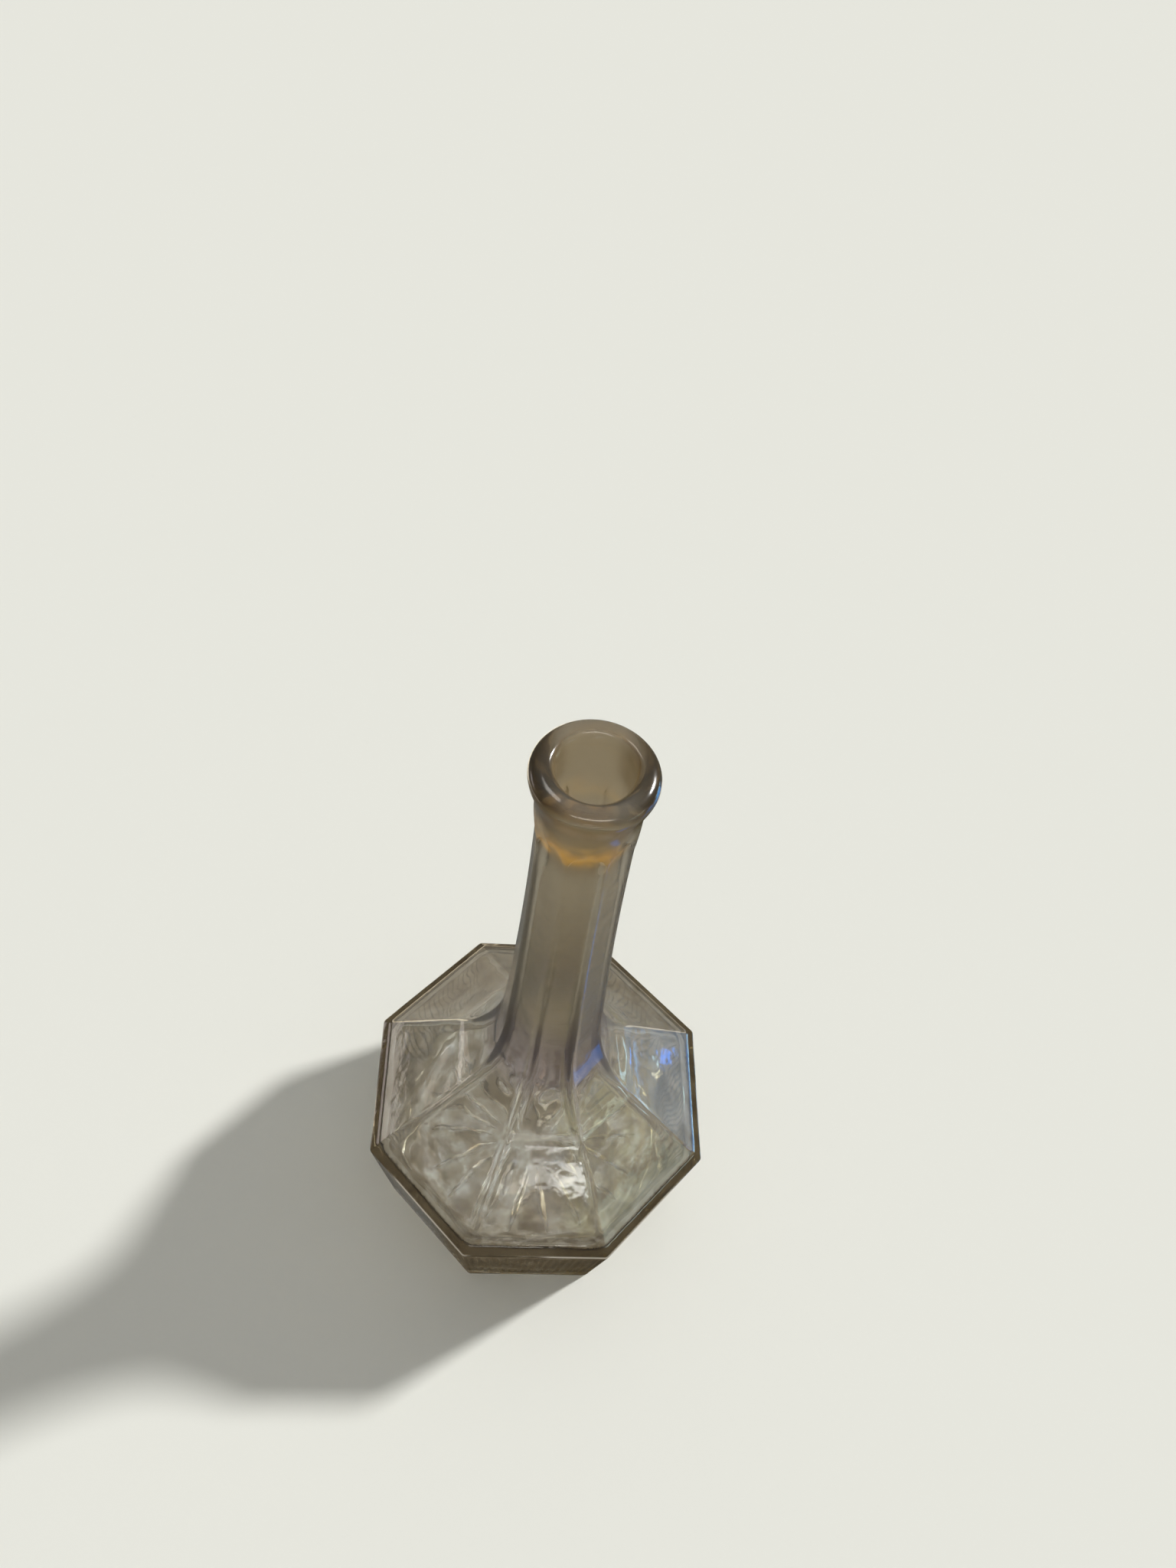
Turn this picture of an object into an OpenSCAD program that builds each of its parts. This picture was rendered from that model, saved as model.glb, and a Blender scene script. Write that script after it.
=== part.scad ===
// Octagonal decorative bottle in smoked glass. Its sections are those that such a bottle
// is formed from: starred base plate, ribbed wall, faceted shoulder, panelled neck and lip.
// They meet face to face. The origin is the middle of the rest face, with +Z up.

/* [Body] */
// Width across the flats at the widest edge
body_w = 100; // [96:1:106]
// Width across the flats at the rest face
base_w = 90; // [86:1:94]
// Height of the widest edge above the rest face
wall_h = 44; // [38:1:54]
// Thickness of the glass at the middle of each flat
wall_t = 4; // [3:0.25:5]

/* [Base plate] */
// Height of the plain foot, on which the ribbed wall is seated
base_h = 7; // [6.5:0.5:9]
// Thickness of the glass under the cavity
floor_t = 5; // [4.5:0.25:6]
// How far the round inside the foot of the wall reaches
heel_r = 9; // [7:0.5:12]
// Diameter of the recess in the underside
recess_d = 82; // [78:1:84]
// Depth of the recess in the underside
recess_h = 1.2; // [0.6:0.1:1.8]

/* [Star] */
// Number of rays in the star under the base
ray_count = 18; // [12:1:24]
// Diameter on which the rays begin
ray_start_d = 18; // [12:1:28]
// Diameter on which the rays end
ray_end_d = 70; // [56:1:74]
// Width of a ray where it is widest
ray_w = 3.5; // [2:0.25:4]
// Depth of a ray where it is widest
ray_depth = 1.4; // [0.6:0.1:1.8]

/* [Ribs] */
// Number of upright ribs on each side of the wall
rib_count = 18; // [8:1:20]
// Depth of the grooves between the ribs
rib_depth = 0.5; // [0.25:0.05:0.8]
// Distance that the ribs' crests lie inside the plain foot and band
rib_sink = 0.15; // [0.05:0.05:0.3]

/* [Shoulder] */
// Height of the plain band under the widest edge, which rests on the ribbed wall
band_h = 3; // [2:0.5:6]
// Width of the bevel between the widest edge and the ridge inside it
bevel_w = 2.5; // [1.5:0.25:4]
// Height of that bevel
bevel_h = 1.8; // [1:0.1:3]
// Rise of the straight part of the shoulder's ridges
slope_h = 22.5; // [18:0.5:25]
// How far the ridges come in over their straight part
slope_in = 22.5; // [20:0.5:25]
// Height from the widest edge to the foot of the neck
shoulder_h = 59; // [55:1:70]
// How far the round inside the widest edge reaches
eave_r = 5; // [3:0.5:7]

/* [Neck] */
// Width across the flats at the foot of the neck
neck_foot_w = 26.1; // [25:0.1:27.5]
// Width across the flats below the lip
neck_w = 20.5; // [19.8:0.1:21]
// Length of the neck from its foot to the lip
neck_h = 96; // [80:1:120]
// Inner diameter at the foot of the neck
bore_foot_d = 18.4; // [16:0.2:19]
// Inner diameter at the mouth
bore_d = 15; // [13:0.2:15.4]
// Height over which the neck's panels run out in arches below the lip
arch_h = 9; // [6:0.5:12]

/* [Lip] */
// Outer diameter of the lip where it sits on the neck
lip_foot_d = 22.4; // [22.2:0.1:23]
// Largest diameter of the lip
lip_d = 26.25; // [25.5:0.25:29]
// Diameter of the lip's highest line
crest_d = 19.5; // [18:0.25:22]
// Height of the lip
lip_h = 14; // [12:0.5:18]
// How far the lip's largest diameter lies below its highest line
rim_h = 2.7; // [2:0.1:4]
// Depth of the funnel from the highest line down to the straight bore
funnel_h = 3.5; // [2.5:0.25:6]

/* [Hidden] */

// Sides of the body, the shoulder and the neck
sides = 8;
side_angle = 360 / sides;
// A corner lies this much further out than the middle of a flat
corner_share = 1 / cos(side_angle / 2);
// How far a cut runs past the solid that it opens
overrun = 1;
// Steps in each bend of an outline
bend_steps = 8;
flare_steps = 4;
arch_steps = 4;
neck_steps = 8;
// The panels have run out at this share of the arches' height
arch_share = 0.85;
// Distance between the neck's ridges and the round form at the foot of the arches
arch_gap = 0.12;
// Heights at which the lip's flare leaves the neck and turns upright again, as shares of the
// height below its largest diameter
flare_shares = [0.4, 0.9];
// Share of a rib's pitch that each of its flanks takes
flank_share = 0.3;
// A ray's cutter is this much larger where it starts below the recess
ray_spread_share = 1.3;
// Plain land beside each corner of the wall
corner_land = 1.2;

// Heights
band_z = wall_h - band_h;
ridge_z = wall_h + bevel_h;
slope_z = ridge_z + slope_h;
neck_z = wall_h + shoulder_h;
lip_z = neck_z + neck_h;
total_h = lip_z + lip_h;
rim_z = total_h - rim_h;
mouth_z = total_h - funnel_h;
arch_z = lip_z - arch_h;

// Corner radii of the outside
body_r = body_w / 2 * corner_share;
ridge_r = (body_w / 2 - bevel_w) * corner_share;
slope_r = ridge_r - slope_in;
neck_foot_r = neck_foot_w / 2 * corner_share;
neck_r = neck_w / 2 * corner_share;
bore_foot_r = bore_foot_d / 2;
bore_r = bore_d / 2;
lip_foot_r = lip_foot_d / 2;
lip_r = lip_d / 2;
crest_r = crest_d / 2;

// Width across the flats of the wall at a height
function wall_w(z) = base_w + (body_w - base_w) * z / wall_h;

// Points of a bend from a to c that leaves a and reaches c in the direction of b
function bend(a, b, c, steps) = [
    for (i = [0 : steps])
        let (t = i / steps)
        (1 - t) * (1 - t) * a + 2 * t * (1 - t) * b + t * t * c
];

// Crossing of the line through p along d with the line through q along e
function crossing(p, d, q, e) =
    p + d * ((q.x - p.x) * e.y - (q.y - p.y) * e.x) / (d.x * e.y - d.y * e.x);

function unit(v) = v / norm(v);

// A corner p rounded between its neighbours a and c, over the same reach on both sides
function round_corner(a, p, c, reach) =
    bend(p + unit(a - p) * reach, p, p + unit(c - p) * reach, bend_steps);

// Corner radius of the neck, which narrows quickly at its foot and slowly below the lip
function neck_ridge_r(z) =
    let (left = (lip_z - z) / neck_h)
    neck_r + (neck_foot_r - neck_r) * left * left;

// Corner radius of the neck where its panels run out in arches
function arch_r(z) =
    let (done = (z - arch_z) / arch_h / arch_share)
    neck_ridge_r(z) + (lip_foot_r * corner_share - neck_r) * done * done;

// Directions of the ridges at the two ends of the shoulder's bend
slope_dir = [-slope_in, slope_h];
neck_dir = [2 * (neck_r - neck_foot_r), neck_h];

// The corners' outline: plain band, bevel, straight ridge, then a bend up into the neck
ridge_line = concat(
    [[wall_w(band_z) / 2 * corner_share, band_z], [body_r, wall_h], [ridge_r, ridge_z]],
    bend(
        [slope_r, slope_z],
        crossing([slope_r, slope_z], slope_dir, [neck_foot_r, neck_z], neck_dir),
        [neck_foot_r, neck_z],
        bend_steps
    )
);

// The cavity runs parallel to the middle of the flats
inner_foot = [wall_w(floor_t) / 2 - wall_t, floor_t];
inner_dir = [body_w - base_w, 2 * wall_h];
inner_slope_dir = [-slope_in / corner_share, slope_h];
inner_slope_in = wall_t * norm(inner_slope_dir) / slope_h;
inner_ridge = [ridge_r / corner_share - inner_slope_in, ridge_z];
inner_slope = [slope_r / corner_share - inner_slope_in, slope_z];
inner_eave = crossing(inner_foot, inner_dir, inner_ridge, inner_slope_dir);
inner_neck = [bore_foot_r, neck_z];
bore_dir = [bore_r - bore_foot_r, neck_h];

cavity_line = concat(
    [[0, floor_t]],
    round_corner([0, floor_t], inner_foot, inner_eave, heel_r),
    round_corner(inner_foot, inner_eave, inner_slope, eave_r),
    bend(
        inner_slope,
        crossing(inner_slope, inner_slope_dir, inner_neck, bore_dir),
        inner_neck,
        bend_steps
    ),
    [[bore_r, lip_z], [bore_r, lip_z + overrun], [0, lip_z + overrun]]
);

// Turns a solid so that flats, and not corners, face along X and Y
module flats_forward() {
    rotate([0, 0, side_angle / 2]) children();
}

// The cavity has eight sides as well, so the wall is as thick at the corners as on the flats
module cavity() {
    flats_forward()
        rotate_extrude($fn = sides)
            polygon([for (p = cavity_line) [p.x * corner_share, p.y]]);
}

// Outline of one side of the wall at its widest edge, facing +Y, from right to left
side_line =
    let (
        crest_y = body_w / 2 - rib_sink,
        corner = crest_y * tan(side_angle / 2),
        half = corner - corner_land,
        pitch = 2 * half / rib_count
    )
    concat(
        [[corner, crest_y]],
        [
            for (i = [0 : rib_count - 1])
                let (x = half - i * pitch)
                each [
                    [x, crest_y - rib_depth],
                    [x - flank_share * pitch, crest_y],
                    [x - (1 - flank_share) * pitch, crest_y]
                ]
        ],
        [[-half, crest_y - rib_depth]]
    );

// Outline of the whole ribbed wall at its widest edge
wall_line = [
    for (k = [0 : sides - 1])
        let (c = cos(k * side_angle), s = sin(k * side_angle))
        for (p = side_line)
            [p.x * c - p.y * s, p.x * s + p.y * c]
];

// One ray of the star: a groove with a point at both ends, deepest in its middle
module ray() {
    middle = (ray_start_d + ray_end_d) / 4;
    reach = (ray_end_d - ray_start_d) / 4 * ray_spread_share;
    side = ray_w / 2 * ray_spread_share;
    low = recess_h - ray_depth * (ray_spread_share - 1);
    polyhedron(
        points = [
            [middle - reach, 0, low],
            [middle, -side, low],
            [middle + reach, 0, low],
            [middle, side, low],
            [middle, 0, recess_h + ray_depth]
        ],
        faces = [[0, 1, 2, 3], [0, 4, 1], [1, 4, 2], [2, 4, 3], [3, 4, 0]]
    );
}

module starred_base() {
    color("dimgray")
        difference() {
            flats_forward()
                cylinder(
                    h = base_h,
                    r1 = base_w / 2 * corner_share,
                    r2 = wall_w(base_h) / 2 * corner_share,
                    $fn = sides
                );
            cavity();
            translate([0, 0, -overrun])
                cylinder(h = recess_h + overrun, d = recess_d, $fn = 96);
            for (i = [0 : ray_count - 1])
                rotate([0, 0, i * 360 / ray_count]) ray();
        }
}

module ribbed_wall() {
    color("gray")
        difference() {
            translate([0, 0, base_h])
                linear_extrude(height = band_z - base_h, scale = wall_w(band_z) / wall_w(base_h))
                    polygon(wall_line * wall_w(base_h) / body_w);
            cavity();
        }
}

module faceted_shoulder() {
    color("darkgray")
        difference() {
            flats_forward()
                rotate_extrude($fn = sides)
                    polygon(concat([[0, band_z]], ridge_line, [[0, neck_z]]));
            cavity();
        }
}

module panelled_neck() {
    neck_line = [
        for (i = [0 : neck_steps])
            let (z = neck_z + (arch_z - neck_z) * i / neck_steps)
            [neck_ridge_r(z), z]
    ];
    arch_line = [
        for (i = [0 : arch_steps])
            let (z = arch_z + arch_h * i / arch_steps)
            [arch_r(z), z]
    ];
    color("darkgray")
        difference() {
            union() {
                flats_forward()
                    rotate_extrude($fn = sides)
                        polygon(concat([[0, neck_z]], neck_line, [[0, arch_z]]));
                intersection() {
                    flats_forward()
                        rotate_extrude($fn = sides)
                            polygon(concat([[0, arch_z]], arch_line, [[0, lip_z]]));
                    translate([0, 0, arch_z])
                        rotate([0, 0, side_angle / 4])
                            cylinder(
                                h = arch_h,
                                r1 = neck_ridge_r(arch_z) + arch_gap,
                                r2 = lip_foot_r,
                                $fn = 96
                            );
                }
            }
            cavity();
        }
}

module lip_ring() {
    low_pull = [lip_foot_r, lip_z + (rim_z - lip_z) * flare_shares[0]];
    high_pull = [lip_r, lip_z + (rim_z - lip_z) * flare_shares[1]];
    middle = (low_pull + high_pull) / 2;
    foot_bend = bend([lip_foot_r, lip_z], low_pull, middle, flare_steps);
    roll_bend = bend(middle, high_pull, [lip_r, rim_z], bend_steps);
    outer_round = [
        for (i = [1 : bend_steps])
            let (a = 90 * i / bend_steps)
            [crest_r + (lip_r - crest_r) * cos(a), rim_z + rim_h * sin(a)]
    ];
    funnel = [
        for (i = [1 : bend_steps])
            let (a = 90 * i / bend_steps)
            [crest_r - (crest_r - bore_r) * sin(a), mouth_z + funnel_h * cos(a)]
    ];
    color("silver")
        rotate_extrude($fn = 96)
            polygon(
                concat(
                    [[bore_r, lip_z]],
                    foot_bend,
                    [for (i = [1 : bend_steps]) roll_bend[i]],
                    outer_round,
                    funnel
                )
            );
}

starred_base();
ribbed_wall();
faceted_shoulder();
panelled_neck();
lip_ring();
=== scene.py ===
from math import atan2, cos, hypot, pi, radians, sin, tan

import bmesh
import bpy
from mathutils import Matrix, Vector, noise


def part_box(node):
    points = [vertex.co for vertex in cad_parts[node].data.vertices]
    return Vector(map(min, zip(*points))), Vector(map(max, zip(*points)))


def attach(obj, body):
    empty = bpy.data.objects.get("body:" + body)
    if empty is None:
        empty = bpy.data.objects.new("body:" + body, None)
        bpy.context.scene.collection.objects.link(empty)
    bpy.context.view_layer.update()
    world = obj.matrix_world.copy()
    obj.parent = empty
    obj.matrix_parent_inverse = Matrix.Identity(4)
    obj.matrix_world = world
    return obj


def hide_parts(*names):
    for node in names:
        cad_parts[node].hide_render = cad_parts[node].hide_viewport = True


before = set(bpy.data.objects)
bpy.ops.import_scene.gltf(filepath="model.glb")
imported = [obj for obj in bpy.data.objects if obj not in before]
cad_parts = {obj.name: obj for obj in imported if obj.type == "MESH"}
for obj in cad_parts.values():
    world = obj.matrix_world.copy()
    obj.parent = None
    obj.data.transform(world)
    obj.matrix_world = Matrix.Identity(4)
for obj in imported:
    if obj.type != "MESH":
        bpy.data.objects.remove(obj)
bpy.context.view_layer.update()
scene = bpy.context.scene
mm = 0.001

# Heights of the joins in millimetres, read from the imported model
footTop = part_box("starred_base")[1].z / mm
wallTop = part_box("ribbed_wall")[1].z / mm
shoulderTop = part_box("faceted_shoulder")[1].z / mm
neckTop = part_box("panelled_neck")[1].z / mm
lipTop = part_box("lip_ring")[1].z / mm
print("frame loaded, lip at", round(lipTop, 1), "mm")

# The body's eight sides
sides = 8
sideTurn = 2 * pi / sides
halfTurn = sideTurn / 2
cornerShare = 1 / cos(halfTurn)


def between(low, high, share):
    return low + (high - low) * share


def ease(low, high, value):  # 0 below low, 1 above high, smooth between
    share = min(max((value - low) / (high - low), 0), 1)
    return share * share * (3 - 2 * share)


def bend(start, pull, end, steps=10):  # curve that leaves start and reaches end towards pull
    points = []
    for i in range(steps + 1):
        t = i / steps
        points.append(start * (1 - t) ** 2 + pull * 2 * t * (1 - t) + end * t * t)
    return points


def crossing(p, d, q, e):  # where the line through p along d meets the line through q along e
    return p + d * (((q.x - p.x) * e.y - (q.y - p.y) * e.x) / (d.x * e.y - d.y * e.x))


def soften(before, corner, after, reach, steps=6):  # a corner of an outline, rounded
    start = corner + (before - corner).normalized() * reach
    end = corner + (after - corner).normalized() * reach
    return bend(start, corner, end, steps)


def fillIn(points, step):  # no two neighbours of an outline stay further apart than step
    filled = [points[0]]
    for point in points[1:]:
        last = filled[-1]
        pieces = max(1, round((point - last).length / step + 0.49))
        filled += [last.lerp(point, i / pieces) for i in range(1, pieces + 1)]
    return filled


def spinOutline(bm, outline, columns, parts, shape=None):
    # Spins one part of the round, shapes it, and sets copies of it side by side
    older = set(bm.verts)
    angle = 2 * pi / parts
    chain = [bm.verts.new((point.x, 0, point.y)) for point in outline]
    edges = [bm.edges.new(pair) for pair in zip(chain, chain[1:])]
    bmesh.ops.rotate(bm, verts=chain, cent=(0, 0, 0), matrix=Matrix.Rotation(-angle / 2, 3, "Z"))
    bmesh.ops.spin(
        bm, geom=chain + edges, cent=(0, 0, 0), axis=(0, 0, 1),
        angle=angle, steps=columns // parts,
    )
    wedge = [v for v in bm.verts if v not in older]
    if shape:
        for v in wedge:
            shape(v)
    # Each edge and face once
    edges = list(dict.fromkeys(e for v in wedge for e in v.link_edges))
    faces = list(dict.fromkeys(f for v in wedge for f in v.link_faces))
    for i in range(1, parts):
        copy = bmesh.ops.duplicate(bm, geom=wedge + edges + faces)
        verts = [part for part in copy["geom"] if isinstance(part, bmesh.types.BMVert)]
        turn = Matrix.Rotation(angle * i, 3, "Z")
        bmesh.ops.rotate(bm, verts=verts, cent=(0, 0, 0), matrix=turn)
    made = [v for v in bm.verts if v not in older]
    bmesh.ops.remove_doubles(bm, verts=made, dist=merge["ringGap"])
    return [v for v in bm.verts if v not in older]


def octagonPoint(turn, flat, corner, straightShare):  # place on an octagon with round corners
    side = round(turn / sideTurn)
    along = 2 * (turn / sideTurn - side)
    straight = (flat - corner) * tan(halfTurn)
    x, y = flat, straight * min(abs(along) / straightShare, 1)
    if abs(along) > straightShare:
        swing = halfTurn * (abs(along) - straightShare) / (1 - straightShare)
        x = flat - corner + corner * cos(swing)
        y = straight + corner * sin(swing)
    if along < 0:
        y = -y
    return x, y, side, along


def swung(x, y, side):  # the same place on a side, turned to where that side faces
    swing = side * sideTurn
    return x * cos(swing) - y * sin(swing), x * sin(swing) + y * cos(swing)


# Outline of the glass, in millimetres
bottle = {
    "baseHalf": 45.0,       # middle of a flat to the axis, at the rest face
    "bodyHalf": 50.0,       # the same at the widest edge
    "widestHeight": 44.0,
    "thickness": 4.0,
    "bevelIn": 2.5,
    "bevelHeight": 1.8,
    "slopeIn": 22.5,        # measured along the ridges
    "slopeHeight": 22.5,
    "neckFootHalf": 13.05,
    "neckHalf": 10.25,
    "boreFoot": 9.2,
    "bore": 7.5,
    "widestRound": 0.45,    # how far the rounding of the widest edge reaches
    "ridgeRound": 0.9,
    "cornerRound": 1.7,     # radius of the octagon's corners
    "neckRound": 2.2,
    "neckRoundFrom": 20.0,  # height over the widest edge where that radius begins to change
    "straightShare": 0.6,   # share of the columns on the straight part of a side
    "columns": 192,
    "spacing": 2.0,         # widest gap between two rings
    "curveSteps": 30,
    "neckSteps": 40,
    "archSteps": 14,
}
cavity = {
    "floorHeight": 5.0,
    "heel": 9.0,            # reach of the rounding between floor and wall
    "heelSteps": 14,
    "eave": 5.0,            # and between wall and shoulder
    "eaveSteps": 12,
    "round": 5.0,           # radius of the corners in the body
    "boreRound": 3.0,       # and in the neck
    "straightShare": 0.5,
    "spacing": 2.4,
    "squareFrom": 1.0,      # heights over the floor between which eight sides appear
    "squareFull": 14.0,
    "roundFrom": 24.0,      # heights under the lip between which they go
    "roundFull": 12.0,
    "plainBelowLip": 0.5,
    "waveHeight": 0.55,     # unevenness of the inner surface
    "waveLength": 13.0,
    "rippleShare": 0.35,
    "rippleLength": 5.0,
    "calmFrom": 40.0,       # heights under the lip between which it calms down
    "calmFull": 4.0,
    "calmShare": 0.7,
    "floorRadius": 12.0,    # inside this the unevenness is up and down
}
base = {
    "recessRadius": 41.0,
    "recessDepth": 1.2,
    "recessSlope": 0.4,     # how much wider the recess is at the rest face
    "recessRound": 0.5,
    "recessSteps": 4,
    "footRound": 0.7,
    "footSteps": 5,
    "squareMargin": 1.0,    # the octagon appears this far outside the recess
    "rays": 18,
    "rayStart": 9.0,
    "rayEnd": 35.0,
    "rayHalfWidth": 1.75,
    "rayFullness": 2.5,     # the power that shapes a ray's ends
    "rayDepth": 1.7,
    "starMargin": 2.0,      # width of the finely divided ring outside the star
    "columns": 720,         # a whole number for each ray, rib and side
    "starSpacing": 1.5,
    "spacing": 3.0,
}
ribs = {
    "count": 18,
    "depth": 0.5,
    "fade": 1.4,            # height over which the ribs run out
    "endMargin": 0.2,       # they stop this far under the band
    "lastRing": 0.25,       # and the last ring of points this far under it
    "straightShare": 0.8,
}
lip = {
    "foot": 11.2,
    "widest": 13.125,
    "widestBelowTop": 2.7,
    "flareShares": (0.4, 0.9),
    "flareSteps": (7, 9),
    "crest": 9.75,
    "funnel": 3.5,
    "roundSteps": 10,
    "archHeight": 9.0,
    "archShare": 0.55,      # how far up it the arches rise between the ridges
    "archFade": 4.0,
}
merge = {
    "ringGap": 0.002,       # points closer than this become one
    "joinGap": 0.004,
    "search": 1.0,          # how near to the join its open edges lie
}


def wallHalf(z):
    return between(bottle["baseHalf"], bottle["bodyHalf"], z / bottle["widestHeight"])


def neckHalf(z):
    left = (neckTop - z) / (neckTop - shoulderTop)
    return bottle["neckHalf"] + (bottle["neckFootHalf"] - bottle["neckHalf"]) * left * left


# Points where the outline turns, from the wall's top up to the neck's foot
widest = Vector((bottle["bodyHalf"], bottle["widestHeight"]))
ridge = widest + Vector((-bottle["bevelIn"], bottle["bevelHeight"]))
slopeRun = Vector((-bottle["slopeIn"] / cornerShare, bottle["slopeHeight"]))
slope = ridge + slopeRun
neckFoot = Vector((bottle["neckFootHalf"], shoulderTop))
neckRun = Vector((2 * (bottle["neckHalf"] - bottle["neckFootHalf"]), neckTop - shoulderTop))
seam = Vector((wallHalf(wallTop), wallTop))
archFoot = neckTop - lip["archHeight"]


def outsideLine():  # from the wall's top to the foot of the lip
    line = [seam]
    line += soften(seam, widest, ridge, bottle["widestRound"])
    line += soften(widest, ridge, slope, bottle["ridgeRound"])
    pull = crossing(slope, slopeRun, neckFoot, neckRun)
    line += bend(slope, pull, neckFoot, bottle["curveSteps"])
    for low, high, steps in (
        (shoulderTop, archFoot, bottle["neckSteps"]), (archFoot, neckTop, bottle["archSteps"]),
    ):
        for i in range(1, steps + 1):
            z = between(low, high, i / steps)
            line.append(Vector((neckHalf(z), z)))
    return fillIn(line, bottle["spacing"])


def lipLine():  # from the lip's foot over the crest and down the funnel to the bore
    foot = Vector((lip["foot"], neckTop))
    rim = Vector((lip["widest"], lipTop - lip["widestBelowTop"]))
    lowShare, highShare = lip["flareShares"]
    lowSteps, highSteps = lip["flareSteps"]
    lowPull = Vector((lip["foot"], between(neckTop, rim.y, lowShare)))
    highPull = Vector((lip["widest"], between(neckTop, rim.y, highShare)))
    middle = (lowPull + highPull) / 2
    line = bend(foot, lowPull, middle, lowSteps) + bend(middle, highPull, rim, highSteps)[1:]
    angles = [radians(90 * i / lip["roundSteps"]) for i in range(1, lip["roundSteps"] + 1)]
    for a in angles:
        line.append(Vector((
            lip["crest"] + (rim.x - lip["crest"]) * cos(a),
            rim.y + lip["widestBelowTop"] * sin(a),
        )))
    for a in angles:
        line.append(Vector((
            lip["crest"] - (lip["crest"] - bottle["bore"]) * sin(a),
            lipTop - lip["funnel"] + lip["funnel"] * cos(a),
        )))
    return line


def insideLine(mouth):  # from the bore down to the middle of the floor
    level = cavity["floorHeight"]
    foot = Vector((wallHalf(level) - bottle["thickness"], level))
    wallRun = Vector((bottle["bodyHalf"] - bottle["baseHalf"], bottle["widestHeight"]))
    inward = Vector((bottle["thickness"] * slopeRun.length / slopeRun.y, 0))
    innerSlope = slope - inward
    eave = crossing(foot, wallRun, ridge - inward, slopeRun)
    neck = Vector((bottle["boreFoot"], shoulderTop))
    boreRun = Vector((bottle["bore"] - bottle["boreFoot"], neckTop - shoulderTop))
    floorMiddle = Vector((0, level))
    line = [mouth, Vector((bottle["bore"], neckTop)), neck]
    pull = crossing(innerSlope, slopeRun, neck, boreRun)
    line += bend(neck, pull, innerSlope, bottle["curveSteps"])[1:]
    line += soften(innerSlope, eave, foot, cavity["eave"], cavity["eaveSteps"])
    line += soften(eave, foot, floorMiddle, cavity["heel"], cavity["heelSteps"])
    line.append(floorMiddle)
    return fillIn(line, cavity["spacing"])


starRim = Vector((base["rayEnd"] + base["starMargin"], base["recessDepth"]))


def starLine():  # from the middle of the recess to just outside the star
    return fillIn([Vector((0, base["recessDepth"])), starRim], base["starSpacing"])


def underLine():  # from the star's rim round the foot to the wall's top
    recessEdge = Vector((base["recessRadius"], base["recessDepth"]))
    recessFoot = Vector((base["recessRadius"] + base["recessSlope"], 0))
    footEdge = Vector((bottle["baseHalf"], 0))
    line = [starRim]
    reach, steps = base["recessRound"], base["recessSteps"]
    line += soften(starRim, recessEdge, recessFoot, reach, steps)
    line += soften(recessEdge, recessFoot, footEdge, reach, steps)
    line += soften(recessFoot, footEdge, seam, base["footRound"], base["footSteps"])
    line = fillIn(line, base["spacing"])
    fade = ribs["fade"]
    for z in (
        footTop, footTop + fade / 2, footTop + fade, (footTop + wallTop) / 2,
        wallTop - fade, wallTop - fade / 2, wallTop - ribs["lastRing"],
    ):
        line.append(Vector((wallHalf(z), z)))
    return line


def shapeRay(v):  # one ray of the star, cut up into the recess
    middle = (base["rayStart"] + base["rayEnd"]) / 2
    reach = (base["rayEnd"] - base["rayStart"]) / 2
    along = abs(v.co.x - middle) / reach
    half = base["rayHalfWidth"] * max(0, 1 - along ** base["rayFullness"])
    v.co.z += base["rayDepth"] * max(0, half - abs(v.co.y)) / base["rayHalfWidth"]


def shapeUnder(v):
    turn, reach = atan2(v.co.y, v.co.x), hypot(v.co.x, v.co.y)
    if reach < base["recessRadius"]:
        return
    x, y, side, along = octagonPoint(turn, reach, bottle["cornerRound"], ribs["straightShare"])
    if abs(along) < ribs["straightShare"]:
        phase = (along / ribs["straightShare"] + 1) / 2 * ribs["count"]
        groove = (0.5 + 0.5 * cos(2 * pi * phase)) ** 2
        fade = ease(footTop, footTop + ribs["fade"], v.co.z)
        fade *= 1 - ease(wallTop - ribs["fade"], wallTop - ribs["endMargin"], v.co.z)
        x -= ribs["depth"] * groove * fade
    margin = base["squareMargin"]
    square = ease(base["recessRadius"] + margin, bottle["baseHalf"] - margin, reach)
    x = between(reach * cos(turn - side * sideTurn), x, square)
    y = between(reach * sin(turn - side * sideTurn), y, square)
    v.co.x, v.co.y = swung(x, y, side)


def shapeOutside(v):
    turn, flat = atan2(v.co.y, v.co.x), hypot(v.co.x, v.co.y)
    rounding = between(
        bottle["cornerRound"], bottle["neckRound"],
        ease(bottle["widestHeight"] + bottle["neckRoundFrom"], shoulderTop, v.co.z),
    )
    x, y, side, along = octagonPoint(turn, flat, rounding, bottle["straightShare"])
    if v.co.z > archFoot:  # the panels run out in arches where the neck turns round
        foot = archFoot + lip["archHeight"] * lip["archShare"] * (1 - along * along)
        share = ease(foot, foot + lip["archFade"], v.co.z)
        around = between(flat * cornerShare, lip["foot"], ease(archFoot, neckTop, v.co.z))
        x = between(x, around * cos(turn - side * sideTurn), share)
        y = between(y, around * sin(turn - side * sideTurn), share)
    v.co.x, v.co.y = swung(x, y, side)


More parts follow.
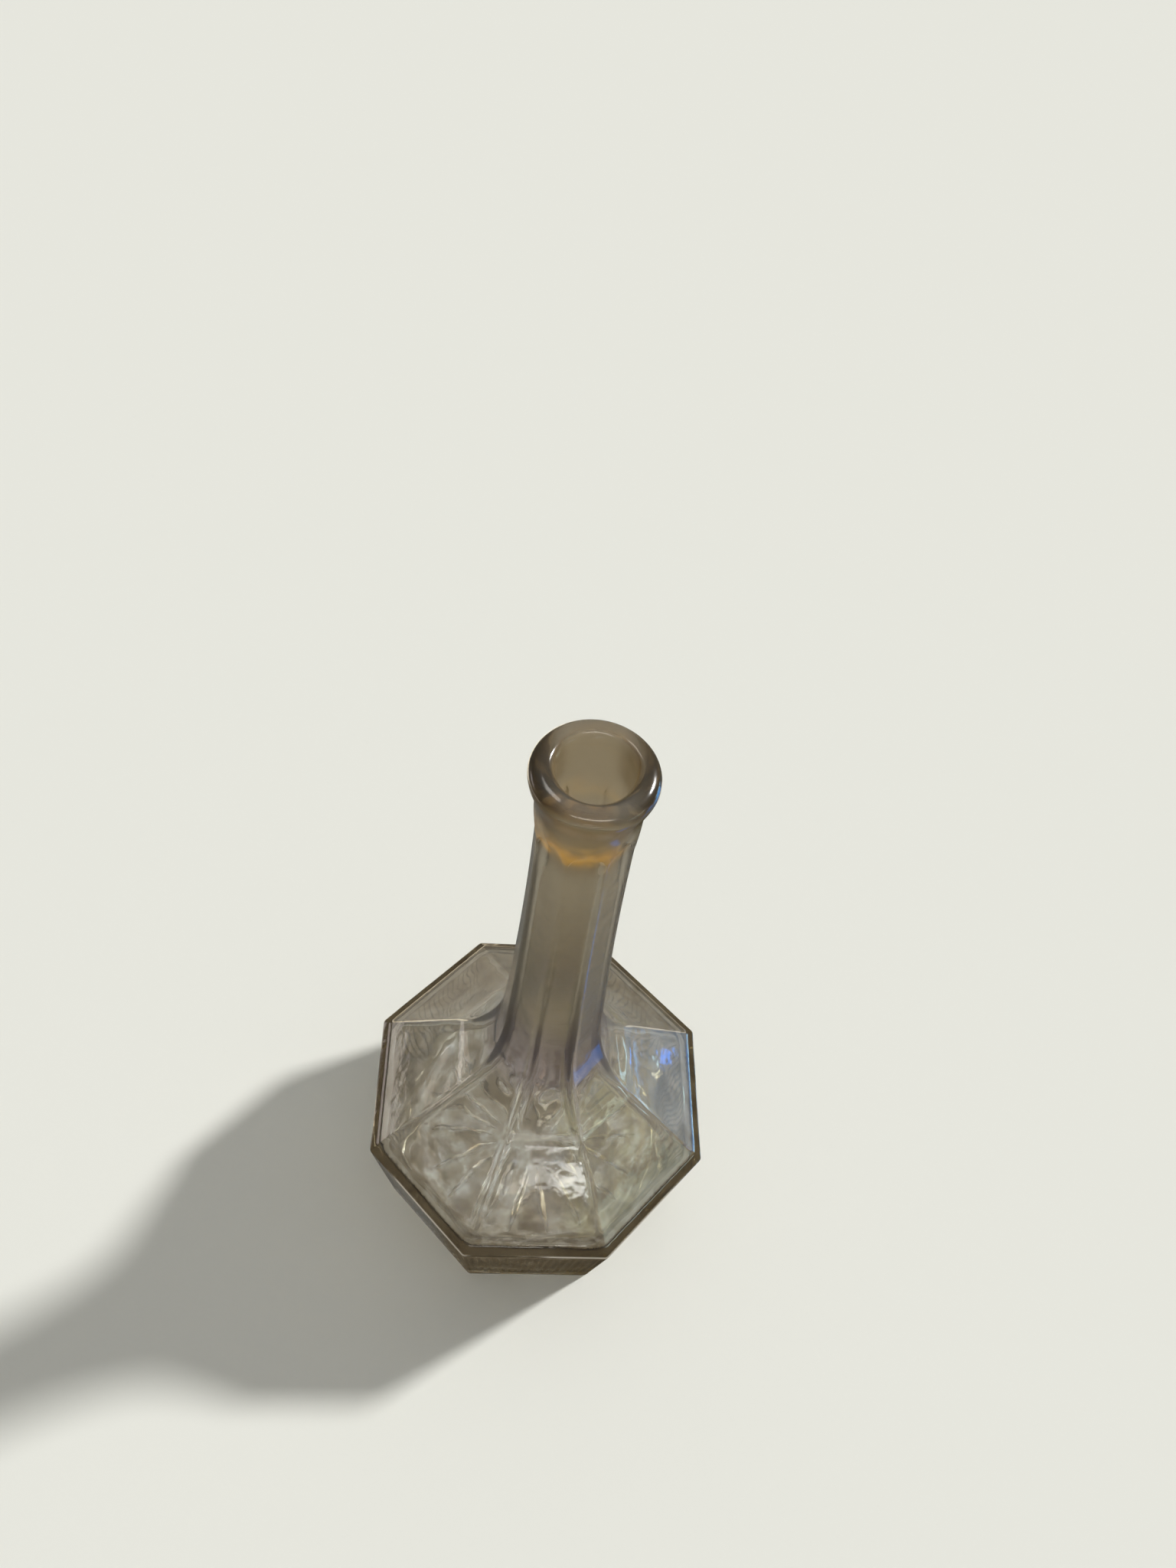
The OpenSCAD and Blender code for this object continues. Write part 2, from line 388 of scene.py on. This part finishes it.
def shapeInside(v):  # the cavity follows the sides, with softer corners, and is a little uneven
    if v.co.z > neckTop - cavity["plainBelowLip"]:
        return
    turn, flat = atan2(v.co.y, v.co.x), hypot(v.co.x, v.co.y)
    level = cavity["floorHeight"]
    square = ease(level + cavity["squareFrom"], level + cavity["squareFull"], v.co.z)
    square *= 1 - ease(neckTop - cavity["roundFrom"], neckTop - cavity["roundFull"], v.co.z)
    rounding = between(
        cavity["round"], cavity["boreRound"], ease(slope.y, shoulderTop, v.co.z)
    )
    x, y, side, along = octagonPoint(turn, flat, rounding, cavity["straightShare"])
    x, y = swung(x, y, side)
    v.co.x = between(v.co.x, x, square)
    v.co.y = between(v.co.y, y, square)
    away = Vector((v.co.x, v.co.y, 0))
    away = away.normalized() if away.length > cavity["floorRadius"] else Vector((0, 0, 1))
    wave = noise.noise(v.co / cavity["waveLength"])
    wave += cavity["rippleShare"] * noise.noise(v.co / cavity["rippleLength"])
    calm = ease(neckTop - cavity["calmFrom"], neckTop - cavity["calmFull"], v.co.z)
    v.co += away * wave * cavity["waveHeight"] * (1 - calm * cavity["calmShare"])


def makeBottle():
    bm = bmesh.new()
    spinOutline(bm, starLine(), base["columns"], base["rays"], shapeRay)
    spinOutline(bm, underLine(), base["columns"], sides, shapeUnder)
    lower = [
        e for e in bm.edges if e.is_boundary and e.verts[0].co.z > wallTop - merge["search"]
    ]
    older = set(bm.edges)
    spinOutline(bm, outsideLine(), bottle["columns"], sides, shapeOutside)
    upper = [
        e for e in bm.edges
        if e not in older and e.is_boundary and e.verts[0].co.z < wallTop + merge["search"]
    ]
    rolled = lipLine()
    spinOutline(bm, rolled, bottle["columns"], sides)
    for v in spinOutline(bm, insideLine(rolled[-1]), bottle["columns"], sides):
        shapeInside(v)
    bmesh.ops.bridge_loops(bm, edges=lower + upper)
    bmesh.ops.remove_doubles(bm, verts=bm.verts, dist=merge["joinGap"])
    bmesh.ops.recalc_face_normals(bm, faces=bm.faces)
    bmesh.ops.scale(bm, vec=(mm, mm, mm), verts=bm.verts)
    loose = [e for e in bm.edges if not e.is_manifold]
    print("glass:", len(bm.faces), "faces,", len(loose), "open edges, volume",
          round(bm.calc_volume(signed=True) * 1e6, 1), "cm3")
    for face in bm.faces:
        face.smooth = True
    mesh = bpy.data.meshes.new("bottle_glass")
    bm.to_mesh(mesh)
    bm.free()
    glass = bpy.data.objects.new("bottle_glass", mesh)
    scene.collection.objects.link(glass)
    even = glass.modifiers.new("even shading", "WEIGHTED_NORMAL")
    even.keep_sharp = True
    return glass


class Wire:
    # A socket that can stand in a sum: each operator adds its Math node
    def __init__(self, tree, socket=None):
        self.tree = tree
        self.socket = socket

    def node(self, kind, settings, values, output=0):
        made = self.tree.nodes.new(kind)
        for name, value in settings.items():
            setattr(made, name, value)
        for name, value in values.items():
            if isinstance(value, Wire):
                self.tree.links.new(value.socket, made.inputs[name])
            else:
                made.inputs[name].default_value = value
        return Wire(self.tree, made.outputs[output])

    def math(self, operation, *values):
        return self.node("ShaderNodeMath", {"operation": operation}, dict(enumerate(values)))

    def __add__(self, other):
        return self.math("ADD", self, other)

    def __radd__(self, other):
        return self.math("ADD", other, self)

    def __sub__(self, other):
        return self.math("SUBTRACT", self, other)

    def __rsub__(self, other):
        return self.math("SUBTRACT", other, self)

    def __mul__(self, other):
        return self.math("MULTIPLY", self, other)

    def __rmul__(self, other):
        return self.math("MULTIPLY", other, self)

    def __abs__(self):
        return self.math("ABSOLUTE", self)

    def smooth(self, low, high):  # 0 at low, 1 at high, smooth between
        return self.node("ShaderNodeMapRange", {"interpolation_type": "SMOOTHSTEP"}, {
            "Value": self, "From Min": low, "From Max": high,
        })

    def raised(self, least):  # from least to 1 where it went from 0 to 1
        return least + self * (1 - least)

    def blend(self, share, first, second, how="MIX"):  # of two colours
        return self.node("ShaderNodeMix", {"data_type": "RGBA", "blend_type": how}, {
            0: share, 6: first, 7: second,
        }, 2)

    def coat(self, share, colour):  # a colour laid over this one where share is 1
        return self.blend(share, self, colour, "MULTIPLY")


def newTree(name):
    material = bpy.data.materials.new(name)
    material.use_nodes = True
    material.node_tree.nodes.clear()
    return material, Wire(material.node_tree)


def finishMaterial(tree, surface, volume=None):
    end = tree.tree.nodes.new("ShaderNodeOutputMaterial")
    tree.tree.links.new(surface.socket, end.inputs["Surface"])
    if volume:
        tree.tree.links.new(volume.socket, end.inputs["Volume"])


# Shader settings are in metres. A pair of places says where a thing is absent and where it
# is full, and a grain is a noise's scale and detail.
smoke = {
    "tint": (0.90, 0.87, 0.80, 1),
    "neckTint": (0.85, 0.78, 0.645, 1),
    "absorb": (0.56, 0.49, 0.33, 1),
    "density": 55.0,
    "refraction": 1.5,
    "clear": 0.92,          # the rest is a faint haze
    "worked": (0.085, 0.125),   # heights from the pressed body to the hand-worked neck
    "bodyRough": 0.03,
    "neckRough": 0.14,      # the neck and lip blur what is behind them
    "grainRough": 0.03,
    "grain": (70.0, 3.0),
    "fineGrain": (240.0, 2.0),
    "fineShare": 0.3,
    "bodyBump": 0.4,        # share of the bump that the pressed body has
    "bump": 0.12,
    "bumpDepth": 0.002,
}
mouthBrown = {    # brown, inside the mouth
    "colour": (0.71, 0.60, 0.44, 1),
    "height": (0.184, 0.192),
    "radius": (0.0095, 0.0083),
}
lipSideShade = {    # painted shade on the lip's sides, left and right, where the glass is thickest
    "colour": (0.36, 0.30, 0.21, 1),
    "height": (0.1985, 0.203),
    "radius": (0.0082, 0.0092),
    "aside": (0.005, 0.0105),
}
paintedAmber = {   # painted amber reflection with a painted glow, on the front where the neck meets the lip
    "colour": (1.0, 0.66, 0.20, 1),
    "light": (0.120, 0.062, 0.011, 1),  # painted glow in it
    "middle": 0.195,
    "reach": 0.005,
    "waver": 0.010,         # how far the painted amber strays up and down
    "waverGrain": (120.0, 3.0),
    "cover": (0.36, 0.52),
    "fleckGrain": (230.0, 3.0),
    "fleckCover": (0.40, 0.58),
    "fleckLeast": 0.25,
    "back": (-0.004, 0.004),
    "backLoss": 0.85,
}
mottle = {  # brown clouds low in the body
    "colour": (0.60, 0.54, 0.44, 1),
    "height": (0.078, 0.03),
    "grain": (150.0, 6.0),
    "cover": (0.46, 0.62),
}
deposit = {     # brown, low on the glass: star, floor and foot
    "colour": (0.66, 0.59, 0.47, 1),
    "height": (0.009, 0.006),
    "grain": (115.0, 6.0),
    "cover": (0.48, 0.60),
}
yellowed = {    # the same height, on the right
    "colour": (0.79, 0.76, 0.50, 1),
    "height": (0.009, 0.006),
    "aside": (0.006, 0.018),
}
neckFootShade = {     # painted shade, tinted violet, low in the neck
    "colour": (0.77, 0.73, 0.84, 1),
    "from": (0.076, 0.09),
    "until": (0.125, 0.10),
}
behind = {      # painted shade: the facets at the back darker
    "colour": (0.88, 0.85, 0.80, 1),
    "height": (0.0445, 0.047),
    "back": (0.018, 0.030),
}
bevel = {       # painted shade: the bevel round the widest edge is dark
    "colour": (0.42, 0.35, 0.25, 1),
    "radius": (0.0462, 0.0468),
    "from": (0.0425, 0.0435),
    "until": (0.0463, 0.0457),
}
wall = {        # painted light and shade of the ribs: upright streaks in the ribbed wall, with painted shade darkest in front
    "colour": (0.78, 0.71, 0.59, 1),
    "frontColour": (0.40, 0.31, 0.17, 1),
    "radius": (0.0435, 0.0455),
    "height": (0.0425, 0.0405),
    "front": (-0.042, -0.0455),
    "stretch": (1.0, 1.0, 0.12),
    "grain": (520.0, 3.0),
    "cover": (0.38, 0.62),
    "least": 0.4,
    "frontLeast": 0.5,
}
edgeGlint = {      # painted highlight, here and there in the widest edge
    "light": (0.30, 0.28, 0.24, 1),
    "height": 0.0440,
    "reach": (0.00034, 0.0001),
    "radius": (0.0475, 0.0485),
    "grain": (45.0, 2.0),
    "cover": (0.42, 0.56),
}
arrisHighlight = {  # painted highlights: pale rough lines on the star's arrises, broken here and there
    "colour": (0.92, 0.90, 0.84, 1),
    "rough": 0.5,
    "reach": (0.0007, 0.0003),
    "waver": 0.0012,
    "waverGrain": (190.0, 2.0),
    "start": (0.009, 0.014),
    "end": (0.037, 0.029),
    "height": (0.0040, 0.0033),
    "grain": (120.0, 2.0),
    "cover": (0.42, 0.55),
    "share": 0.85,
}
noLight = (0.0, 0.0, 0.0, 1)


def grainAt(place, grain):
    scale, detail = grain
    return place.node("ShaderNodeTexNoise", {}, {
        "Vector": place, "Scale": scale, "Detail": detail,
    })


def part(place, axis):
    return place.node("ShaderNodeSeparateXYZ", {}, {0: place}, axis)


def outwards(place):  # how far a place is from the bottle's axis
    aside, back = part(place, "X"), part(place, "Y")
    return place.math("SQRT", aside * aside + back * back)


def lipTintAndShade(place, tint):
    height, out = part(place, "Z"), outwards(place)
    share = height.smooth(*mouthBrown["height"]) * out.smooth(*mouthBrown["radius"])
    tint = tint.coat(share, mouthBrown["colour"])
    # painted shade on the lip's sides
    share = height.smooth(*lipSideShade["height"]) * out.smooth(*lipSideShade["radius"])
    share = share * abs(part(place, "X")).smooth(*lipSideShade["aside"])
    return tint.coat(share, lipSideShade["colour"])


# where the painted amber reflection lies, mostly on the front
def paintedAmberShare(place):
    back, height = part(place, "Y"), part(place, "Z")
    waver = (grainAt(place, paintedAmber["waverGrain"]) - 0.5) * paintedAmber["waver"]
    share = abs(height + waver - paintedAmber["middle"]).smooth(paintedAmber["reach"], 0.0)
    share = share * grainAt(place, smoke["grain"]).smooth(*paintedAmber["cover"])
    flecks = grainAt(place, paintedAmber["fleckGrain"]).smooth(*paintedAmber["fleckCover"])
    share = share * flecks.raised(paintedAmber["fleckLeast"])
    return share * (1 - back.smooth(*paintedAmber["back"]) * paintedAmber["backLoss"])


# clouds, deposits and a yellow patch in the glass, with painted shade low in the neck, at the
# back and on the bevel
def bodyTintAndShade(place, tint):
    aside, back, height = part(place, "X"), part(place, "Y"), part(place, "Z")
    for mark in (mottle, deposit):
        share = grainAt(place, mark["grain"]).smooth(*mark["cover"])
        tint = tint.coat(share * height.smooth(*mark["height"]), mark["colour"])
    # painted shade low in the neck
    share = height.smooth(*neckFootShade["from"]) * height.smooth(*neckFootShade["until"])
    tint = tint.coat(share, neckFootShade["colour"])
    share = aside.smooth(*yellowed["aside"]) * height.smooth(*yellowed["height"])
    tint = tint.coat(share, yellowed["colour"])
    # painted shade on the facets at the back
    share = back.smooth(*behind["back"]) * height.smooth(*behind["height"])
    tint = tint.coat(share, behind["colour"])
    # painted shade on the bevel
    share = height.smooth(*bevel["from"]) * height.smooth(*bevel["until"])
    return tint.coat(share * outwards(place).smooth(*bevel["radius"]), bevel["colour"])


def wallStreakShade(place, tint):
    upright = place.node("ShaderNodeVectorMath", {"operation": "MULTIPLY"}, {
        0: place, 1: wall["stretch"],
    })
    streaks = grainAt(upright, wall["grain"]).smooth(*wall["cover"])
    share = outwards(place).smooth(*wall["radius"])
    share = share * part(place, "Z").smooth(*wall["height"])
    # painted light and shade of the ribs, as upright streaks
    tint = tint.coat(share * streaks.raised(wall["least"]), wall["colour"])
    # painted shade, darkest in front
    share = share * part(place, "Y").smooth(*wall["front"])
    return tint.coat(share * streaks.raised(wall["frontLeast"]), wall["frontColour"])


# where the painted highlight lies in the widest edge
def edgeGlintShare(place):
    share = abs(part(place, "Z") - edgeGlint["height"]).smooth(*edgeGlint["reach"])
    share = share * outwards(place).smooth(*edgeGlint["radius"])
    return share * grainAt(place, edgeGlint["grain"]).smooth(*edgeGlint["cover"])


# where the painted highlights lie on the star's arrises
def arrisHighlightShare(place):
    out = outwards(place)
    turn = place.math("ARCTAN2", part(place, "Y"), part(place, "X"))
    fromRay = place.math("PINGPONG", turn * (base["rays"] / (2 * pi)), 0.5)
    across = fromRay * (2 * pi / base["rays"]) * out
    waver = (grainAt(place, arrisHighlight["waverGrain"]) - 0.5) * arrisHighlight["waver"]
    share = abs(across + waver).smooth(*arrisHighlight["reach"])
    share = share * out.smooth(*arrisHighlight["start"]) * out.smooth(*arrisHighlight["end"])
    share = share * part(place, "Z").smooth(*arrisHighlight["height"])
    share = share * grainAt(place, arrisHighlight["grain"]).smooth(*arrisHighlight["cover"])
    return share * arrisHighlight["share"]


def makeGlass():
    material, tree = newTree("smokedGlass")
    place = tree.node("ShaderNodeTexCoord", {}, {}, "Object")
    grain = grainAt(place, smoke["grain"])
    worked = part(place, "Z").smooth(*smoke["worked"])
    relief = grain + grainAt(place, smoke["fineGrain"]) * smoke["fineShare"]
    bump = tree.node("ShaderNodeBump", {}, {
        "Height": relief * worked.raised(smoke["bodyBump"]),
        "Strength": smoke["bump"],
        "Distance": smoke["bumpDepth"],
    })
    rough = smoke["bodyRough"] + worked * (smoke["neckRough"] - smoke["bodyRough"])
    paintedAmberMask = paintedAmberShare(place)
    tint = lipTintAndShade(place, tree.blend(worked, smoke["tint"], smoke["neckTint"]))
    # painted amber reflection laid over the tint
    tint = tree.blend(paintedAmberMask, tint, paintedAmber["colour"])
    tint = wallStreakShade(place, bodyTintAndShade(place, tint))
    # painted glow: emission for the amber and for the highlights in the widest edge
    paintedGlow = tree.blend(paintedAmberMask, noLight, paintedAmber["light"])
    paintedGlow = tree.blend(edgeGlintShare(place), paintedGlow, edgeGlint["light"])
    clear = tree.node("ShaderNodeBsdfPrincipled", {}, {
        "Base Color": tint,
        "Roughness": rough + grain * smoke["grainRough"],
        "IOR": smoke["refraction"],
        "Transmission Weight": smoke["clear"],
        "Emission Color": paintedGlow,
        "Emission Strength": 1.0,
        "Normal": bump,
    })
    # pale rough glass for the painted highlights
    arrisLines = tree.node("ShaderNodeBsdfPrincipled", {}, {
        "Base Color": arrisHighlight["colour"],
        "Roughness": arrisHighlight["rough"],
        "IOR": smoke["refraction"],
    })
    shader = tree.node("ShaderNodeMixShader", {}, {0: arrisHighlightShare(place), 1: clear, 2: arrisLines})
    inner = tree.node("ShaderNodeVolumeAbsorption", {}, {
        "Color": smoke["absorb"], "Density": smoke["density"],
    })
    finishMaterial(tree, shader, inner)
    return material


glass = makeBottle()
glass.data.materials.append(makeGlass())
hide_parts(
    "starred_base", "ribbed_wall", "faceted_shoulder", "panelled_neck", "lip_ring"
)
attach(glass, "root")
print("bottle made")

# Pale floor. Through the glass and mirrored in it the floor is dimmer, and the patches of
# light on it show only where the glass mirrors them.
floorSet = {
    "half": 6.0,
    "drop": 0.0003,
    "colour": (0.799, 0.799, 0.738, 1),
    "throughGlass": 0.45,   # the floor is seen through the glass as it is in its shadow
    "mirrored": 0.18,       # and mirrored in it as a dimmer table
    "patches": (    # direction in degrees, half width, near, far, edge, colour
        (162.0, 0.20, 0.33, 0.39, 0.040, (2.0, 1.85, 1.75, 1)),
        (124.0, 0.06, 0.145, 0.20, 0.015, (0.55, 0.5, 0.42, 1)),
        (52.0, 0.06, 0.115, 0.18, 0.015, (0.03, 0.03, 0.02, 1)),
        (18.0, 0.09, 0.22, 0.30, 0.030, (0.15, 0.45, 0.85, 1)),
        (-88.0, 0.06, 0.04, 0.12, 0.010, (0.095, 0.078, 0.052, 1)),
        (21.0, 0.0045, 0.262, 0.278, 0.0015, (0.0, 1.8, 8.0, 1)),
        (-19.0, 0.018, 0.085, 0.115, 0.006, (0.05, 0.35, 1.2, 1)),
        (-3.0, 0.060, 0.450, 0.800, 0.030, (0.30, 1.2, 3.6, 1)),
        (120.0, 0.150, 0.230, 0.320, 0.020, (4.0, 3.5, 2.6, 1)),
        (54.0, 0.100, 0.195, 0.250, 0.010, (2.0, 1.9, 1.7, 1)),
        (-6.0, 0.024, 0.22, 0.42, 0.020, (0.05, 0.5, 1.6, 1)),
        (18.0, 0.100, 0.38, 1.50, 0.060, (0.45, 2.0, 4.6, 1)),
    ),
}


def makeFloorColour():
    material, tree = newTree("paleFloor")
    place = tree.node("ShaderNodeTexCoord", {}, {}, "Object")
    through = [floorSet["throughGlass"] * channel for channel in floorSet["colour"]]
    mirrored = [floorSet["mirrored"] * channel for channel in floorSet["colour"]]
    for around, half, near, far, soft, colour in floorSet["patches"]:
        turned = tree.node("ShaderNodeMapping", {"vector_type": "TEXTURE"}, {
            "Vector": place, "Rotation": (0, 0, radians(around)),
        })
        along, across = part(turned, "X"), part(turned, "Y")
        share = abs(across).smooth(half, half - soft) * along.smooth(near - soft, near)
        mirrored = tree.blend(share * along.smooth(far + soft, far), mirrored, colour)
    shader = tree.node("ShaderNodeBsdfDiffuse", {}, {"Color": floorSet["colour"]})
    for ray, colour in (("Is Transmission Ray", through), ("Is Reflection Ray", mirrored)):
        seen = tree.node("ShaderNodeEmission", {}, {"Color": colour, "Strength": 1.0})
        share = tree.node("ShaderNodeLightPath", {}, {}, ray)
        shader = tree.node("ShaderNodeMixShader", {}, {0: share, 1: shader, 2: seen})
    finishMaterial(tree, shader)
    material.cycles.emission_sampling = "NONE"
    return material


def makeFloor():
    bm = bmesh.new()
    bmesh.ops.create_grid(bm, x_segments=1, y_segments=1, size=floorSet["half"])
    bmesh.ops.translate(bm, verts=bm.verts, vec=(0, 0, -floorSet["drop"]))
    mesh = bpy.data.meshes.new("floor")
    bm.to_mesh(mesh)
    bm.free()
    mesh.materials.append(makeFloorColour())
    floor = bpy.data.objects.new("floor", mesh)
    scene.collection.objects.link(floor)
    return floor


floor = makeFloor()
print("floor laid")

# Light: a pale room, one soft key from the right, and lamps that only show in the glass
light = {
    "roomColour": (1, 1, 0.98, 1),
    "roomSide": 0.14,       # brightness of the room at the horizon
    "roomTop": 0.52,        # what it gains towards the top
    "glassSide": 0.34,      # the same two for what is seen through the glass
    "glassTop": 0.40,
    "backdrop": 0.78,       # how bright the room is where it is seen itself
    "glints": 9.0,          # lamps overhead, seen through the glass
    "glintColour": (0.72, 0.92, 1.30, 1),
    "glintGrain": (7.0, 1.0),
    "glintCover": (0.51, 0.58),
    "glintHeight": (0.45, 0.6),     # sine of their height over the horizon
    "keyShare": 0.592,
    "keyAround": 26.0,
    "keyUp": 31.0,
    "keyAngle": 6.0,
    "boxDistance": 1.2,
    "boxAim": 0.05,         # height on the bottle that the boxes face
}
softBoxes = {   # direction and height in degrees, width, height, glow, colour
    "window": (20, -1, 0.34, 0.05, 17.0, (0.36, 0.68, 1.0)),
    "right glow": (-28, 0.6, 0.5, 0.06, 1.0, (0.66, 1.0, 0.90)),
    "front glow": (-92, 6.5, 0.8, 0.10, 1.3, (1.0, 0.97, 0.90)),
    "front window": (-84.7, 12.3, 0.040, 0.030, 10.0, (1.0, 1.0, 0.96)),
    "front curtain": (-86.7, 12.5, 0.045, 0.026, 4.5, (1.0, 1.0, 0.98)),
    "front strip": (-88, 56, 1.0, 0.14, 7.0, (1.0, 0.96, 0.88)),
    "ridge strip": (-95, 21, 0.35, 0.06, 4.0, (1.0, 0.96, 0.88)),
    "right strip": (-27, 14, 0.6, 0.05, 5.0, (0.78, 1.0, 0.98)),
    "left strip": (160, 6, 0.40, 0.2, 3.0, (1.0, 0.90, 0.92)),
    "overhead": (139, 67, 0.3, 0.3, 6.0, (1.0, 0.97, 0.92)),
}


def pointing(around, upward):  # unit vector towards a place given in degrees
    turn, rise = radians(around), radians(upward)
    return Vector((cos(turn) * cos(rise), sin(turn) * cos(rise), sin(rise)))


def makeRoom():
    world = bpy.data.worlds.new("room")
    scene.world = world
    world.use_nodes = True
    world.node_tree.nodes.clear()
    sky = Wire(world.node_tree)
    place = sky.node("ShaderNodeTexCoord", {}, {})
    above = part(place, "Z")
    upwards = sky.math("MAXIMUM", above, 0.0)
    through = sky.node("ShaderNodeLightPath", {}, {}, "Is Transmission Ray")
    direct = sky.node("ShaderNodeLightPath", {}, {}, "Is Camera Ray")
    plain = light["roomSide"] + upwards * upwards * light["roomTop"]
    pale = light["glassSide"] + upwards * light["glassTop"]
    bright = plain + through * (pale - plain) + direct * (light["backdrop"] - plain)
    glints = grainAt(place, light["glintGrain"]).smooth(*light["glintCover"])
    glints = above.smooth(*light["glintHeight"]) * glints * light["glints"]
    walls = sky.node("ShaderNodeBackground", {}, {
        "Color": light["roomColour"], "Strength": bright,
    })
    lamps = sky.node("ShaderNodeBackground", {}, {
        "Color": light["glintColour"], "Strength": through * glints,
    })
    room = sky.node("ShaderNodeAddShader", {}, {0: walls, 1: lamps})
    end = sky.tree.nodes.new("ShaderNodeOutputWorld")
    sky.tree.links.new(room.socket, end.inputs["Surface"])


def makeKey():
    towards = pointing(light["keyAround"], light["keyUp"])
    lamp = bpy.data.lights.new("key", "SUN")
    lamp.energy = light["keyShare"] * pi / towards.z
    lamp.angle = radians(light["keyAngle"])
    key = bpy.data.objects.new("key", lamp)
    key.rotation_euler = towards.to_track_quat("Z", "Y").to_euler()
    scene.collection.objects.link(key)


def makeSoftBox(name, around, upward, width, height, glow, colour):
    out = pointing(around, upward)
    lamp = bpy.data.lights.new(name, "AREA")
    lamp.shape = "RECTANGLE"
    lamp.size, lamp.size_y = width, height
    lamp.energy, lamp.color = glow * pi * width * height, colour
    box = bpy.data.objects.new(name, lamp)
    box.location = out * light["boxDistance"] + Vector((0, 0, light["boxAim"]))
    box.rotation_euler = out.to_track_quat("Z", "Y").to_euler()
    box.visible_diffuse = False
    scene.collection.objects.link(box)


makeRoom()
makeKey()
for name, settings in softBoxes.items():
    makeSoftBox(name, *settings)
print("light placed")

# Camera at the photograph's viewing angle
view = {
    "place": Vector((-0.0197, -0.1284, 0.3844)),
    "forward": Vector((0.0849, 0.5846, -0.8069)).normalized(),
    "roll": radians(9.79),
    "focalPixels": 1470,
    "framePixels": 2048,
    "sensor": 36,
    "nearest": 0.01,
}


def makeCamera():
    forward, roll = view["forward"], view["roll"]
    right = forward.cross(Vector((0, 0, 1))).normalized()
    up = right.cross(forward)
    turnedRight = right * cos(roll) + up * sin(roll)
    turnedUp = up * cos(roll) - right * sin(roll)
    lens = bpy.data.cameras.new("camera")
    lens.lens = view["focalPixels"] / view["framePixels"] * view["sensor"]
    lens.sensor_width = view["sensor"]
    lens.clip_start = view["nearest"]
    camera = bpy.data.objects.new("camera", lens)
    camera.matrix_world = Matrix.Translation(view["place"]) @ Matrix(
        (turnedRight, turnedUp, -forward)
    ).transposed().to_4x4()
    scene.collection.objects.link(camera)
    scene.camera = camera


makeCamera()
scene.view_settings.view_transform = "Standard"
print("camera set")
